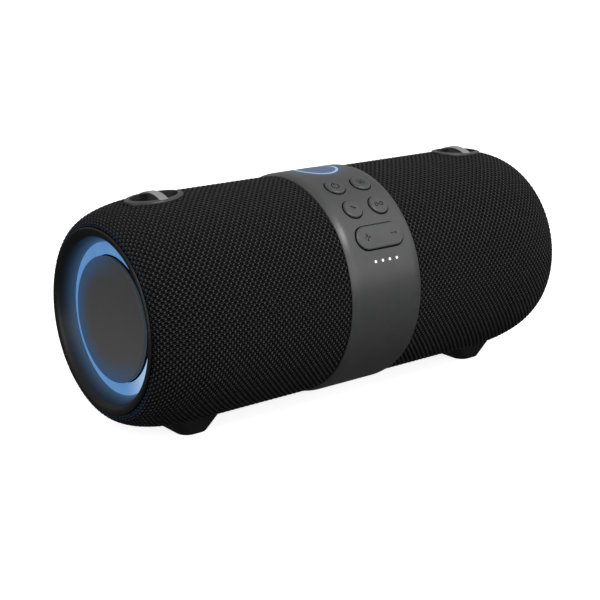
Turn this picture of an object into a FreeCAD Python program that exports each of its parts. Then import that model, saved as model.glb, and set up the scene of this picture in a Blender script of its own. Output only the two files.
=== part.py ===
import FreeCAD, Part
import math
import os

# Portable bluetooth speaker: a fabric covered drum lying on two rubber feet, with a control band
# round its middle and a lit passive radiator in each end. Millimetres. The model is drawn with the
# drum's axis on X through the origin, and is lifted so that the feet stand on Z = 0.
# Front is -Y, where the drivers fire; "right" is +X and "left" is -X.

# Outside sizes
BODY_RADIUS = 54.0
BODY_LENGTH = 252.0
FOOT_HEIGHT = 2.0
AXIS_HEIGHT = BODY_RADIUS + FOOT_HEIGHT
HALF_LENGTH = BODY_LENGTH / 2

# Skin, from the outside in
FABRIC_THICKNESS = 1.0
SHELL_THICKNESS = 1.8
SHELL_RADIUS = BODY_RADIUS - FABRIC_THICKNESS
SHOULDER_START = 90.0
SHOULDER_LENGTH = 35.2
FABRIC_END_RADIUS = 43.4

# Control band
BAND_RADIUS = 55.0
BAND_INNER_RADIUS = 52.2
BAND_HALF_WIDTH = 21.8
BAND_CROWN_RADIUS = 9.5
BAND_CROWN_ANGLE = 27.0
BAND_CORNER = 0.8
SKIN_START = BAND_HALF_WIDTH + 0.2

# Round buttons and the volume rocker: x, and degrees from the top towards the front
BUTTON_RADIUS = 5.15
BUTTON_GAP = 0.45
BUTTON_PROUD = 1.1
BUTTON_EDGE = 0.8
BUTTON_TOP = BAND_RADIUS + BUTTON_PROUD
BUTTON_FLANGE_RADIUS = 6.2
BUTTON_STEM_BOTTOM = 50.2
ICON_DEPTH = 0.4
ICON_LINE = 0.6
LEFT_COLUMN = -7.0
RIGHT_COLUMN = 9.0
UPPER_ROW = 24.0
LOWER_ROW = 40.5
ROCKER_LENGTH = 28.6
ROCKER_WIDTH = 11.9
ROCKER_GAP = 0.5
ROCKER_X = 1.0
ROCKER_ANGLE = 57.3
ROCKER_PIVOT = 50.9
ROCKER_PIN_RADIUS = 0.7
PIN_PLAY = 0.05
ROCKER_PLUNGER_OFFSET = 9.5

# Charge lamps and the lit ring on the band
LAMP_ANGLE = 69.6
LAMP_PITCH = 4.4
LAMP_RADIUS = 0.65
LAMP_COUNT = 4
LAMP_X = 1.0
LIT_RING_X = 0.8
LIT_RING_ANGLE = -2.0
LIT_RING_OUTER = 11.0
LIT_RING_INNER = 9.8
LIT_RING_DEPTH = 0.8

# Key electronics under the band
CARRIER_INNER = 46.0
CARRIER_OUTER = 48.6
KEY_BOARD_OUTER = 48.9
SWITCH_TOP = 49.4
SWITCH_PLUNGER_TOP = 49.6

# Ends: light ring and passive radiator
RING_FACE = HALF_LENGTH - 8.1
RING_OUTER = 35.6
RING_INNER = 29.85
RING_THICKNESS = 1.9
DISC_RADIUS = 29.4
DISC_FACE = HALF_LENGTH - 5.5
DISC_THICKNESS = 1.6
DISC_STEM_RADIUS = 12.0
LED_BOARD_BACK = 113.4
LED_BOARD_THICKNESS = 1.0
LED_COUNT = 16
RADIATOR_FLANGE_FACE = 109.7
RADIATOR_FLANGE_RADIUS = 44.0
RADIATOR_LEDGE = 109.6
RADIATOR_BORE = 28.0
RADIATOR_SEAT_RADIUS = 30.6
WEIGHT_RADIUS = 21.2
WEIGHT_BACK = 105.0
SURROUND_THICKNESS = 0.8

# Strap loops
STRAP_X = 95.0
STRAP_HALF_LENGTH = 14.6
STRAP_HALF_WIDTH = 10.5
STRAP_RIM = 2.0
STRAP_RIM_PROUD = 0.9
STRAP_RIM_EDGE = 0.7
STRAP_CUP_BOTTOM = 43.5
STRAP_CUP_TOP = 53.2
STRAP_CUP_FLOOR = 1.4
STRAP_CUP_WALL = 0.5
STRAP_BAR_WIDTH = 4.6
STRAP_BAR_THICKNESS = 1.6
STRAP_BAR_REACH = 9.3
STRAP_BAR_TOP = 56.2
STRAP_BAR_END_TOP = 54.0

# Feet
FOOT_X = 89.0
FOOT_BOTTOM_LENGTH = 15.0
FOOT_BOTTOM_WIDTH = 45.0
FOOT_TOP_LENGTH = 29.0
FOOT_TOP_WIDTH = 48.0
FOOT_TOP_Z = -48.0
FOOT_CORNER = 6.0
FOOT_SEAT_DEPTH = 9.0

# Acoustic enclosure
CASE_RADIUS = 50.3
CASE_WALL = 2.5
CASE_WAIST_RADIUS = 46.0
CASE_WAIST_END = 20.0
CASE_STEP_END = 22.5
CASE_SHOULDER = 102.0
CASE_END = 107.5
CASE_END_RADIUS = 48.6
CASE_END_BORE = 34.0
GASKET_HALF_THICKNESS = 0.3
SCREW_RADIUS = 1.5
SCREW_HEAD_RADIUS = 2.8
CASE_SCREW_X = (30.0, 74.0)
CASE_SCREW_Z = 45.0
BOSS_RADIUS = 4.4
BOSS_HALF_LENGTH = 10.0

# Drivers, facing the front
DRIVER_X = 57.0
BAFFLE_BACK = -35.5
BAFFLE_FRONT = -38.0
POCKET_RADIUS = 30.0
POCKET_WALL = 2.0
DRIVER_FLANGE_RADIUS = 28.5
DRIVER_FLANGE_FACE = -40.0
DRIVER_HOLE_RADIUS = 23.5
DRIVER_SCREW_CIRCLE = 26.2

# Driver, as radius and distance in front of the drum's axis
MAGNET_RADIUS = 17.0
MAGNET_BACK = 9.5
MAGNET_FRONT = 21.0
POLE_RADIUS = 6.3
POLE_FRONT = 22.0
COIL_SLOT_RADIUS = 7.9
COIL_SLOT_BACK = 12.5
COIL_RADIUS = 7.4
COIL_BACK = 15.0
COIL_WALL = 0.6
CONE_RADIUS = 18.0
CONE_FRONT = 38.6
DUST_CAP_FRONT = 31.0
DUST_CAP_FLAT = 2.5
BASKET_BACK_FRONT = 22.4
BASKET_WALL_RADIUS = 22.0
BASKET_FACE = 40.0
GRILLE_SLOT_WIDTH = 3.0
GRILLE_SLOT_PITCH = 5.5
GRILLE_SLOT_COUNT = 9

# Ports under the rear door
DOOR_HALF_LENGTH = 16.7
DOOR_HALF_HEIGHT = 8.9
DOOR_GAP = 0.3
DOOR_LOWER_GAP = 0.6
DOOR_INNER_RADIUS = 53.4
DOOR_HINGE_Y = 53.4
DOOR_HINGE_Z = -10.2
DOOR_KNUCKLE_RADIUS = 0.95
DOOR_PIN_RADIUS = 0.4
DOOR_ARM_X = (9.8, 14.2)
HOUSING_HALF_LENGTH = 18.2
HOUSING_HALF_HEIGHT = 10.2
HOUSING_WALL = 1.6
PORT_PLATE_FRONT = 48.0
PORT_PLATE_BACK = 46.0
USB_C_X = -10.5
AUX_X = 10.0
AUX_BORE_RADIUS = 1.8
USB_A_X = 0.6
USB_C_SIZE = (9.0, 3.2)
USB_A_SIZE = (13.2, 5.7)
AUX_SIZE = 5.9
PORT_DEPTH = 12.0
PORT_BOARD_TOP = -2.95
PORT_BOARD_THICKNESS = 1.6

# Main board and battery
BOARD_HALF_LENGTH = 31.0
BOARD_FRONT = -23.0
BOARD_BACK = 28.0
BOARD_TOP = -9.0
BOARD_THICKNESS = 1.6
CELL_RADIUS = 9.2
CELL_HALF_LENGTH = 32.5
CELL_Y = 9.6
CELL_Z = -30.0

# Where the start of every turned face lies: degrees from the top, on the plain rear upper side
SEAM_ANGLE = -45.0

ORIGIN = FreeCAD.Vector(0, 0, 0)
X_AXIS = FreeCAD.Vector(1, 0, 0)
Y_AXIS = FreeCAD.Vector(0, 1, 0)
Z_AXIS = FreeCAD.Vector(0, 0, 1)


def outline(start, *steps):
    """Face in the XZ plane. A step is the next corner, or (point on an arc, end of the arc)."""
    edges = []
    here = FreeCAD.Vector(start[0], 0, start[1])
    for step in steps + (start,):
        if isinstance(step[0], tuple):
            through, end = (FreeCAD.Vector(point[0], 0, point[1]) for point in step)
            edges.append(Part.Arc(here, through, end).toShape())
        else:
            end = FreeCAD.Vector(step[0], 0, step[1])
            edges.append(Part.LineSegment(here, end).toShape())
        here = end
    return Part.Face(Part.Wire(edges))


def turned(face):
    """Solid made by turning a face in the XZ plane once round the drum's axis."""
    return around(face.revolve(ORIGIN, X_AXIS, 360), SEAM_ANGLE)


def turned_forward(face, x):
    """Solid made by turning a face round Z, laid so that +Z points to the front, at this x."""
    solid = face.revolve(ORIGIN, Z_AXIS, 360)
    solid.rotate(ORIGIN, X_AXIS, 90)
    solid.translate(FreeCAD.Vector(x, 0, 0))
    return solid


def box(x_range, y_range, z_range):
    corner = FreeCAD.Vector(x_range[0], y_range[0], z_range[0])
    sizes = [high - low for low, high in (x_range, y_range, z_range)]
    return Part.makeBox(*sizes, corner)


def rod(radius, start, end):
    """Cylinder between two points."""
    start = FreeCAD.Vector(*start)
    along = FreeCAD.Vector(*end) - start
    return Part.makeCylinder(radius, along.Length, start, along)


def drum(radius, x_range):
    """Cylinder on the drum's axis."""
    return around(rod(radius, (x_range[0], 0, 0), (x_range[1], 0, 0)), SEAM_ANGLE)


def tube(outer, inner, x_range):
    """Pipe on the drum's axis."""
    return drum(outer, x_range).cut(drum(inner, x_range))


def around(shape, degrees):
    """Turn a shape drawn at the top of the drum towards the front."""
    copy = shape.copy()
    copy.rotate(ORIGIN, X_AXIS, degrees)
    return copy


def mirrored(shape):
    """The left hand copy of a right hand shape."""
    return shape.mirror(ORIGIN, X_AXIS)


def fused(shapes):
    return shapes[0].multiFuse(shapes[1:]).removeSplitter()


def rounded(shape, radius, wanted):
    """Fillet the edges whose bounding box passes the test."""
    return shape.makeFillet(radius, [edge for edge in shape.Edges if wanted(edge.BoundBox)])


def oval_prism(half_length, half_width, z_range, x=0.0):
    """Upright elliptical prism."""
    ellipse = Part.Ellipse(ORIGIN, half_length, half_width).toShape()
    face = Part.Face(Part.Wire([ellipse]))
    face.translate(FreeCAD.Vector(x, 0, z_range[0]))
    return face.extrude(Z_AXIS * (z_range[1] - z_range[0]))


def stadium_prism(length, width, z_range, x=0.0):
    """Upright prism with round ends and straight sides along X."""
    radius = width / 2
    reach = length / 2 - radius
    low, high = z_range
    ends = [rod(radius, (end, 0, low), (end, 0, high)) for end in (x - reach, x + reach)]
    middle = box((x - reach, x + reach), (-radius, radius), z_range)
    return fused([middle] + ends)


def shoulder(inset):
    """Quarter ellipse from the straight skin to its end, this far inside the fabric's face."""
    centre = FreeCAD.Vector(SHOULDER_START, 0, FABRIC_END_RADIUS)
    long_end = centre + X_AXIS * (SHOULDER_LENGTH - inset)
    short_end = centre + Z_AXIS * (BODY_RADIUS - FABRIC_END_RADIUS - inset)
    return Part.ArcOfEllipse(Part.Ellipse(long_end, short_end, centre), 0, math.pi / 2).toShape()


def skin_layer(outer_inset, inner_inset):
    """One layer of the right half's skin, from the band to the end of the drum."""
    outer_radius = BODY_RADIUS - outer_inset
    inner_radius = BODY_RADIUS - inner_inset
    outer_end = SHOULDER_START + SHOULDER_LENGTH - outer_inset
    inner_end = SHOULDER_START + SHOULDER_LENGTH - inner_inset
    corners = [
        (SHOULDER_START, outer_radius),
        (SKIN_START, outer_radius),
        (SKIN_START, inner_radius),
        (SHOULDER_START, inner_radius),
    ]
    points = [FreeCAD.Vector(x, 0, r) for x, r in corners]
    edges = [Part.LineSegment(a, b).toShape() for a, b in zip(points, points[1:])]
    tuck = [FreeCAD.Vector(x, 0, FABRIC_END_RADIUS) for x in (inner_end, outer_end)]
    edges.append(Part.LineSegment(*tuck).toShape())
    edges += [shoulder(outer_inset), shoulder(inner_inset)]
    return turned(Part.Face(Part.Wire(Part.sortEdges(edges)[0])))


def strap_hole():
    """Where a strap cup passes through the skin."""
    return oval_prism(
        STRAP_HALF_LENGTH - STRAP_RIM + 0.2,
        STRAP_HALF_WIDTH - STRAP_RIM + 0.2,
        (STRAP_CUP_BOTTOM, BAND_RADIUS + 5),
        STRAP_X,
    )


def strap_rim_outline():
    """Upright prism as wide as the rim of a strap cup."""
    z_range = (STRAP_CUP_BOTTOM, BAND_RADIUS + 5)
    return oval_prism(STRAP_HALF_LENGTH, STRAP_HALF_WIDTH, z_range, STRAP_X)


def foot_block():
    """Flared rubber block, taller than the foot that shows."""
    levels = (
        (FOOT_BOTTOM_LENGTH, FOOT_BOTTOM_WIDTH, -AXIS_HEIGHT),
        (FOOT_TOP_LENGTH, FOOT_TOP_WIDTH, FOOT_TOP_Z),
    )
    wires = []
    for length, width, z in levels:
        plate = box((-length / 2, length / 2), (-width / 2, width / 2), (z, z + 1))
        plate = rounded(plate, FOOT_CORNER, lambda b: b.ZLength > 0.5)
        bottom = min(plate.Faces, key=lambda face: face.CenterOfMass.z)
        wires.append(bottom.OuterWire)
    block = Part.makeLoft(wires, True, True)
    block.translate(FreeCAD.Vector(FOOT_X, 0, 0))
    return block


def foot():
    block = foot_block().cut(skin_layer(FABRIC_THICKNESS, FOOT_SEAT_DEPTH))
    return rounded(block, 0.8, lambda b: b.ZMax < -AXIS_HEIGHT + 0.01)


def fabric_sleeve():
    """Woven cover of one half."""
    return skin_layer(0, FABRIC_THICKNESS).cut(strap_rim_outline()).cut(foot_block())


def grille_shell():
    """Moulded shell under the fabric, slotted in front of the driver."""
    shell = skin_layer(FABRIC_THICKNESS, FABRIC_THICKNESS + SHELL_THICKNESS)
    window = rod(DRIVER_HOLE_RADIUS, (DRIVER_X, -HALF_LENGTH, 0), (DRIVER_X, 0, 0))
    slots = []
    for index in range(GRILLE_SLOT_COUNT):
        x = DRIVER_X + (index - (GRILLE_SLOT_COUNT - 1) / 2) * GRILLE_SLOT_PITCH
        half = GRILLE_SLOT_WIDTH / 2
        slots.append(box((x - half, x + half), (-BAND_RADIUS, -20), (-30, 30)).common(window))
    return shell.cut(strap_hole()).cut(Part.makeCompound(slots))


def strap_cup():
    """Oval cup sunk in the top. Its rim lies on the shell and follows the drum's shape."""
    rim = skin_layer(-STRAP_RIM_PROUD, FABRIC_THICKNESS).common(strap_rim_outline())
    rim = rounded(rim, STRAP_RIM_EDGE, lambda b: b.ZMin > SHELL_RADIUS - 0.7)
    half_length = STRAP_HALF_LENGTH - STRAP_RIM
    half_width = STRAP_HALF_WIDTH - STRAP_RIM
    body = oval_prism(half_length, half_width, (STRAP_CUP_BOTTOM, STRAP_CUP_TOP), STRAP_X)
    hollow_z = (STRAP_CUP_BOTTOM + STRAP_CUP_FLOOR, BAND_RADIUS + 5)
    hollow = oval_prism(half_length - STRAP_CUP_WALL, half_width - STRAP_CUP_WALL, hollow_z, STRAP_X)
    return fused([rim, body]).cut(hollow).cut(strap_bar())


def strap_bar():
    """Arched metal bar across the cup, which a strap's hook goes round."""
    reach = STRAP_BAR_REACH
    top = STRAP_BAR_TOP
    end_top = STRAP_BAR_END_TOP
    under = top - STRAP_BAR_THICKNESS
    end_under = end_top - STRAP_BAR_THICKNESS
    upper = [FreeCAD.Vector(0, y, z) for y, z in ((-reach, end_top), (0, top), (reach, end_top))]
    lower = [FreeCAD.Vector(0, y, z) for y, z in ((reach, end_under), (0, under), (-reach, end_under))]
    edges = [
        Part.Arc(*upper).toShape(),
        Part.LineSegment(upper[2], lower[0]).toShape(),
        Part.Arc(*lower).toShape(),
        Part.LineSegment(lower[2], upper[0]).toShape(),
    ]
    bar = Part.Face(Part.Wire(edges)).extrude(X_AXIS * STRAP_BAR_WIDTH)
    bar.translate(FreeCAD.Vector(STRAP_X - STRAP_BAR_WIDTH / 2, 0, 0))
    return rounded(bar, 0.5, lambda b: b.XLength < 0.01 and b.YLength > reach)


def end_bezel():
    """Rubber ring round the lit end: a round lip, then a funnel down to the light ring."""
    face = outline(
        (RADIATOR_FLANGE_FACE, 42.1),
        (RADIATOR_FLANGE_FACE, 43.2),
        (125.1, 43.2),
        ((125.78, 43.0), (HALF_LENGTH, 42.5)),
        ((124.96, 39.8), (HALF_LENGTH - 3.5, 38.1)),
        (RING_FACE, RING_OUTER),
        (RING_FACE - 1.7, RING_OUTER),
        (RING_FACE - 1.7, 37.6),
        (120.6, 40.2),
    )
    return turned(face)


def light_diffuser():
    """Milky ring that glows."""
    back = RING_FACE - RING_THICKNESS
    board_front = LED_BOARD_BACK + LED_BOARD_THICKNESS
    face = outline(
        (back, RING_INNER),
        (RING_FACE, RING_INNER),
        (RING_FACE, RING_OUTER - 0.1),
        (board_front, RING_OUTER - 0.1),
        (board_front, RING_OUTER - 1.2),
        (back, RING_OUTER - 1.2),
    )
    return turned(face)


def light_board():
    """Ring of circuit board with its lamps."""
    front = LED_BOARD_BACK + LED_BOARD_THICKNESS
    board = tube(RING_OUTER - 0.1, RADIATOR_SEAT_RADIUS, (LED_BOARD_BACK, front))
    lamp = box((front, front + 1.0), (-1.2, 1.2), (31.2, 33.6))
    return fused([board] + [around(lamp, 360.0 * index / LED_COUNT) for index in range(LED_COUNT)])


def radiator_frame():
    """Ring screwed to the end of the enclosure, which holds the radiator and the light ring."""
    face = outline(
        (CASE_END, RADIATOR_BORE),
        (CASE_END, RADIATOR_FLANGE_RADIUS),
        (RADIATOR_FLANGE_FACE, RADIATOR_FLANGE_RADIUS),
        (RADIATOR_FLANGE_FACE, RING_OUTER + 1),
        (LED_BOARD_BACK, RING_OUTER + 1),
        (LED_BOARD_BACK, RADIATOR_SEAT_RADIUS),
        (RADIATOR_LEDGE, RADIATOR_SEAT_RADIUS),
        (RADIATOR_LEDGE, RADIATOR_BORE),
    )
    return turned(face).cut(Part.makeCompound(radiator_screws()))


def radiator_screws():
    """Six screws that hold one radiator frame."""
    head_top = RADIATOR_FLANGE_FACE + 1.4
    shank = rod(1.2, (CASE_END - CASE_WALL, 0, 39.4), (RADIATOR_FLANGE_FACE, 0, 39.4))
    head = rod(2.1, (RADIATOR_FLANGE_FACE, 0, 39.4), (head_top, 0, 39.4))
    slot = box((head_top - 0.6, head_top + 1), (-1.6, 1.6), (39.1, 39.7))
    screw = fused([shank, head]).cut(slot)
    return [around(screw, 60 * index + 30) for index in range(6)]


def radiator_surround():
    """Half roll of rubber between the frame and the moving weight."""
    back = RADIATOR_LEDGE
    front = back + SURROUND_THICKNESS
    inner = WEIGHT_RADIUS
    middle = (RADIATOR_BORE + inner) / 2
    roll = (RADIATOR_BORE - inner) / 2
    face = outline(
        (back, DISC_STEM_RADIUS + 4),
        (back, inner),
        ((back + roll, middle), (back, RADIATOR_BORE)),
        (back, RADIATOR_SEAT_RADIUS - 0.1),
        (front, RADIATOR_SEAT_RADIUS - 0.1),
        (front, RADIATOR_BORE),
        ((front + roll, middle), (front, inner)),
        (front, DISC_STEM_RADIUS + 4),
    )
    return turned(face)


def radiator_disc():
    """Flat cap of the radiator, on a stem."""
    back = DISC_FACE - DISC_THICKNESS
    face = outline(
        (RADIATOR_LEDGE, 0),
        (RADIATOR_LEDGE, DISC_STEM_RADIUS),
        (back, DISC_STEM_RADIUS),
        (back, DISC_RADIUS),
        (DISC_FACE - 0.5, DISC_RADIUS),
        ((DISC_FACE - 0.15, DISC_RADIUS - 0.15), (DISC_FACE, DISC_RADIUS - 0.5)),
        (DISC_FACE, 0),
    )
    return turned(face)


def radiator_weight():
    """Steel mass behind the cap, stepped where the rubber holds it."""
    face = outline(
        (WEIGHT_BACK, 4.0),
        (WEIGHT_BACK, WEIGHT_RADIUS - 1.5),
        (WEIGHT_BACK + 1.5, WEIGHT_RADIUS),
        (RADIATOR_LEDGE, WEIGHT_RADIUS),
        (RADIATOR_LEDGE, 4.0),
    )
    return turned(face)


def button_cap(icon):
    """Round key with a flange that stops it at the band, and a stem down to its switch."""
    cap = rod(BUTTON_RADIUS, (0, 0, 50.8), (0, 0, BUTTON_TOP + 2))
    cap = cap.common(drum(BUTTON_TOP, (-20, 20)))
    cap = rounded(cap, BUTTON_EDGE, lambda b: b.ZMin > BUTTON_TOP - 0.5)
    flange = rod(BUTTON_FLANGE_RADIUS, (0, 0, 50.4), (0, 0, 51.3))
    stem = rod(1.5, (0, 0, BUTTON_STEM_BOTTOM), (0, 0, 51.0))
    return fused([cap, flange, stem]).cut(icon)


def icon_bar(length, width, degrees, start=0.0):
    """Straight stroke of an icon, from start outwards; 0 degrees points to the back of the drum."""
    bar = box((-width / 2, width / 2), (start, start + length), (BUTTON_TOP - ICON_DEPTH, BUTTON_TOP + 1))
    bar.rotate(ORIGIN, Z_AXIS, -degrees)
    return bar


def icon_ring(radius, width):
    """Round stroke of an icon."""
    bottom = (0, 0, BUTTON_TOP - ICON_DEPTH)
    top = (0, 0, BUTTON_TOP + 1)
    return rod(radius + width / 2, bottom, top).cut(rod(radius - width / 2, bottom, top))


def power_icon():
    gap = box((-0.8, 0.8), (0.5, 4), (BUTTON_TOP - 2, BUTTON_TOP + 2))
    return Part.makeCompound([icon_ring(1.9, ICON_LINE).cut(gap), icon_bar(2.2, ICON_LINE, 0, 0.4)])


def light_icon():
    rays = [icon_bar(0.8, ICON_LINE, 45 * index, 1.6) for index in range(8)]
    return Part.makeCompound([icon_ring(0.8, ICON_LINE)] + rays)


def play_icon():
    corners = [(-1.2, -1.7), (1.8, 0), (-1.2, 1.7), (-1.2, -1.7)]
    points = [FreeCAD.Vector(x, y, BUTTON_TOP - ICON_DEPTH) for x, y in corners]
    return Part.Face(Part.makePolygon(points)).extrude(Z_AXIS * 2)


def pairing_icon():
    """Two speakers' circles joined by a bar."""
    rings = []
    for side in (-1, 1):
        ring = icon_ring(0.9, ICON_LINE)
        ring.translate(FreeCAD.Vector(side * 1.5, 0, 0))
        rings.append(ring)
    bar = icon_bar(1.1, ICON_LINE, 90)
    bar.translate(FreeCAD.Vector(-0.55, 0, 0))
    return Part.makeCompound(rings + [bar])


def buttons():
    """Name, shape and place of each round key."""
    places = {
        "power_button": (power_icon(), LEFT_COLUMN, UPPER_ROW),
        "light_button": (light_icon(), RIGHT_COLUMN, UPPER_ROW),
        "play_button": (play_icon(), LEFT_COLUMN, LOWER_ROW),
        "pairing_button": (pairing_icon(), RIGHT_COLUMN, LOWER_ROW),
    }
    keys = {}
    for name, (icon, x, degrees) in places.items():
        key = button_cap(icon)
        key.translate(FreeCAD.Vector(x, 0, 0))
        keys[name] = around(key, degrees)
    return keys


def volume_rocker():
    """Long key that tips about a pin, with plus on the left and minus on the right."""
    bottom = BAND_INNER_RADIUS + 0.4
    key = stadium_prism(ROCKER_LENGTH, ROCKER_WIDTH, (bottom, BUTTON_TOP + 2))
    key = key.common(drum(BUTTON_TOP, (-20, 20)))
    key = rounded(key, BUTTON_EDGE, lambda b: b.ZMin > BUTTON_TOP - 0.7)
    web = box((-2.4, 2.4), (-4.0, 4.0), (ROCKER_PIVOT - 0.5, bottom))
    barrel = rod(1.5, (0, -4.0, ROCKER_PIVOT), (0, 4.0, ROCKER_PIVOT))
    plungers = [
        rod(1.2, (side * ROCKER_PLUNGER_OFFSET, 0, 50.4), (side * ROCKER_PLUNGER_OFFSET, 0, bottom))
        for side in (-1, 1)
    ]
    key = fused([key, web, barrel] + plungers)
    strokes = []
    for x, angles in ((-8.2, (0, 90)), (8.2, (90,))):
        for degrees in angles:
            bar = icon_bar(3.6, ICON_LINE + 0.2, degrees, -1.8)
            bar.translate(FreeCAD.Vector(x, 0, 0))
            strokes.append(bar)
    key = key.cut(Part.makeCompound(strokes)).cut(rocker_pin_at_top(0, PIN_PLAY))
    key.translate(FreeCAD.Vector(ROCKER_X, 0, 0))
    return around(key, ROCKER_ANGLE)


def rocker_pin_at_top(x, play=0.0):
    return rod(ROCKER_PIN_RADIUS + play, (x, -5.9, ROCKER_PIVOT), (x, 5.9, ROCKER_PIVOT))


def rocker_pin():
    return around(rocker_pin_at_top(ROCKER_X), ROCKER_ANGLE)


def charge_lamps():
    """Light pipes of the charge display."""
    lamps = []
    for index in range(LAMP_COUNT):
        x = LAMP_X + (index - (LAMP_COUNT - 1) / 2) * LAMP_PITCH
        lamp = rod(LAMP_RADIUS, (x, 0, KEY_BOARD_OUTER + 0.2), (x, 0, BAND_RADIUS + 2))
        lamp = lamp.common(drum(BAND_RADIUS + 0.05, (-20, 20)))
        lamps.append(around(lamp, LAMP_ANGLE))
    return lamps


def lit_ring():
    """Clear ring let into the top of the band."""
    bottom = BAND_RADIUS - LIT_RING_DEPTH - 1.1
    outer = rod(LIT_RING_OUTER, (LIT_RING_X, 0, bottom), (LIT_RING_X, 0, BAND_RADIUS + 2))
    inner = rod(LIT_RING_INNER, (LIT_RING_X, 0, bottom), (LIT_RING_X, 0, BAND_RADIUS + 2))
    ring = outer.cut(inner).common(drum(BAND_RADIUS + 0.05, (-20, 20)))
    return around(ring, LIT_RING_ANGLE)


def on_arc(centre_x, centre_z, radius, angle):
    """Point on a circle in the XZ plane, at an angle from +Z towards +X."""
    return centre_x + radius * math.sin(angle), centre_z + radius * math.cos(angle)


def band_edge():
    """Right edge of the band, from its flat outward: a long gentle crown, then a small corner."""
    crown = math.radians(BAND_CROWN_ANGLE)
    crown_x = BAND_HALF_WIDTH - BAND_CORNER - (BAND_CROWN_RADIUS - BAND_CORNER) * math.sin(crown)
    crown_z = BAND_RADIUS - BAND_CROWN_RADIUS
    corner_x, corner_z = on_arc(crown_x, crown_z, BAND_CROWN_RADIUS - BAND_CORNER, crown)
    points = [on_arc(crown_x, crown_z, BAND_CROWN_RADIUS, angle) for angle in (0, crown / 2, crown)]
    quarter = math.pi / 2
    for angle in ((crown + quarter) / 2, quarter):
        points.append(on_arc(corner_x, corner_z, BAND_CORNER, angle))
    return points


def centre_band():
    """Control band with its holes for keys, lamps, lit ring and rear ports."""
    flat_end, crown_middle, crown_end, corner_middle, corner_end = band_edge()
    right = [flat_end, (crown_middle, crown_end), (corner_middle, corner_end)]
    left_points = [(-x, z) for x, z in band_edge()]
    flat_start, crown_middle, crown_start, corner_middle, corner_start = left_points
    left = [corner_start, (corner_middle, crown_start), (crown_middle, flat_start)]
    inside = [(side * BAND_HALF_WIDTH, BAND_INNER_RADIUS) for side in (-1, 1)]
    band = turned(outline(inside[0], *left, *right, inside[1]))
    holes = []
    for x in (LEFT_COLUMN, RIGHT_COLUMN):
        for degrees in (UPPER_ROW, LOWER_ROW):
            holes.append(around(rod(BUTTON_RADIUS + BUTTON_GAP, (x, 0, 45), (x, 0, 60)), degrees))
    slot_length = ROCKER_LENGTH + 2 * ROCKER_GAP
    slot_width = ROCKER_WIDTH + 2 * ROCKER_GAP
    holes.append(around(stadium_prism(slot_length, slot_width, (45, 60), ROCKER_X), ROCKER_ANGLE))
    half_length = DOOR_HALF_LENGTH + DOOR_GAP
    z_range = (-DOOR_HALF_HEIGHT - DOOR_LOWER_GAP, DOOR_HALF_HEIGHT + DOOR_GAP)
    holes.append(box((-half_length, half_length), (40, 60), z_range))
    holes += [door_arm_space(side) for side in (-1, 1)]
    holes.append(door_pin())
    return band.cut(Part.makeCompound(charge_lamps())).cut(lit_ring()).cut(fused(holes))


def door_arm_space(side):
    """Notch below the door's opening, where one hinge arm turns."""
    low = side * (DOOR_ARM_X[0] - 0.3)
    high = side * (DOOR_ARM_X[1] + 0.3)
    x_range = (min(low, high), max(low, high))
    bottom = DOOR_HINGE_Z - DOOR_KNUCKLE_RADIUS - 0.4
    return box(x_range, (50.0, 60.0), (bottom, -DOOR_HALF_HEIGHT))


def door_pin(play=0.0):
    reach = DOOR_ARM_X[1] + 1.8
    ends = [(side * reach, DOOR_HINGE_Y, DOOR_HINGE_Z) for side in (-1, 1)]
    return rod(DOOR_PIN_RADIUS + play, *ends)


def port_door():
    """Door over the ports: a piece of the band's curve, a sealing pad and two hinge arms."""
    leaf = tube(BAND_RADIUS, DOOR_INNER_RADIUS, (-DOOR_HALF_LENGTH, DOOR_HALF_LENGTH))
    leaf_z = (-DOOR_HALF_HEIGHT, DOOR_HALF_HEIGHT)
    leaf = leaf.common(box((-DOOR_HALF_LENGTH, DOOR_HALF_LENGTH), (40, 60), leaf_z))
    leaf = rounded(leaf, 1.5, lambda b: b.YLength < 3 and b.ZLength < 0.5 and b.XLength < 0.01)
    pad = box((-14.5, 14.5), (51.7, DOOR_INNER_RADIUS), (-6.0, 6.0))
    finger_lip = box((-3.5, 3.5), (51.9, DOOR_INNER_RADIUS), (6.0, 7.8))
    arms = []
    for side in (-1, 1):
        x_range = sorted((side * DOOR_ARM_X[0], side * DOOR_ARM_X[1]))
        knuckle = rod(
            DOOR_KNUCKLE_RADIUS,
            (x_range[0], DOOR_HINGE_Y, DOOR_HINGE_Z),
            (x_range[1], DOOR_HINGE_Y, DOOR_HINGE_Z),
        )
        arm = box(x_range, (DOOR_INNER_RADIUS - 0.7, DOOR_INNER_RADIUS + 0.7), (DOOR_HINGE_Z, -8.0))
        arms += [knuckle, arm]
    return fused([leaf, pad, finger_lip] + arms).cut(door_pin(PIN_PLAY))


def port_sockets():
    """Blocks of the three sockets, without their openings."""
    back = PORT_PLATE_FRONT - PORT_DEPTH
    sizes = {
        "usb_c_socket": (USB_C_X, USB_C_SIZE[0], USB_C_SIZE[1]),
        "usb_a_socket": (USB_A_X, USB_A_SIZE[0] - 1.4, USB_A_SIZE[1]),
        "aux_socket": (AUX_X, AUX_SIZE, AUX_SIZE - 0.2),
    }
    blocks = {}
    for name, (x, length, height) in sizes.items():
        x_range = (x - length / 2, x + length / 2)
        blocks[name] = box(x_range, (back, PORT_PLATE_FRONT), (PORT_BOARD_TOP, PORT_BOARD_TOP + height))
    return blocks


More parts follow.
